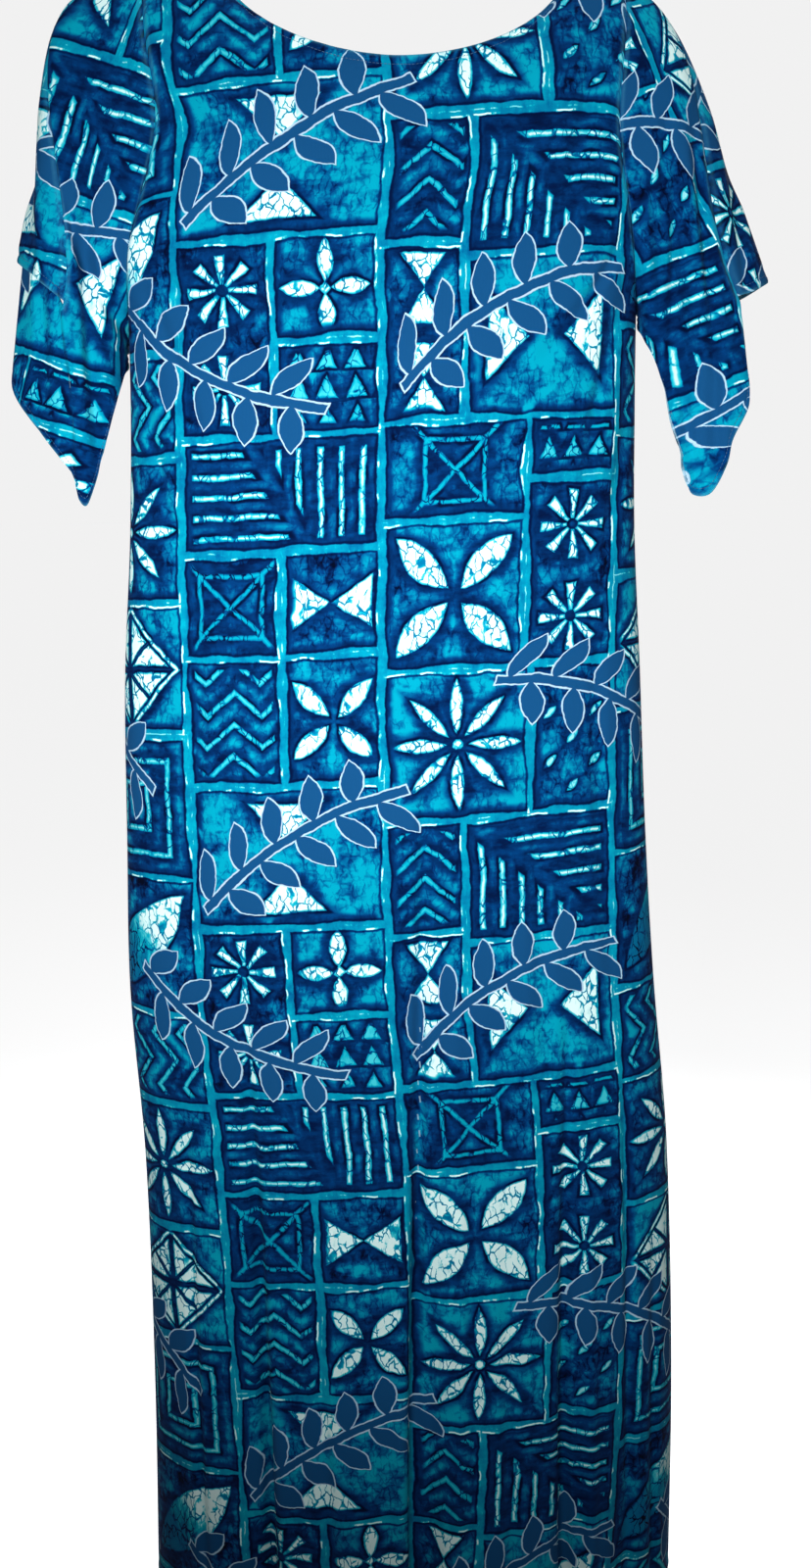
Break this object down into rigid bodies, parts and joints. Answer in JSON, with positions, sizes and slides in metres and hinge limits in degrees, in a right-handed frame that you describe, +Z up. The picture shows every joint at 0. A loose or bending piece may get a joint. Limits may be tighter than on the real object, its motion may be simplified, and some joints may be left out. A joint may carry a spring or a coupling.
{
  "type": "short-sleeved long shift dress",
  "caption": "Long straight shift dress with a wide boat neck, side seams and short set-in sleeves whose front halves hang to a point; hollow, as worn.",
  "frame": {"origin": "in the neck opening, midway along the line of the shoulders, where the wearer holds the dress up", "axes": "+Z up, the front of the dress faces -Y, the wearer's left is at +X"},
  "size_m": [0.6256, 0.2056, 1.473],
  "materials": {
    "printed_cotton": "plain-weave cotton, block print in turquoise, navy, royal blue and white, matt with a slight sheen"
  },
  "bodies": {
    "root": {"front": "printed_cotton", "back": "printed_cotton", "sleeve_front_right": "printed_cotton", "sleeve_back_right": "printed_cotton", "sleeve_front_left": "printed_cotton", "sleeve_back_left": "printed_cotton"}
  },
  "joints": []
}
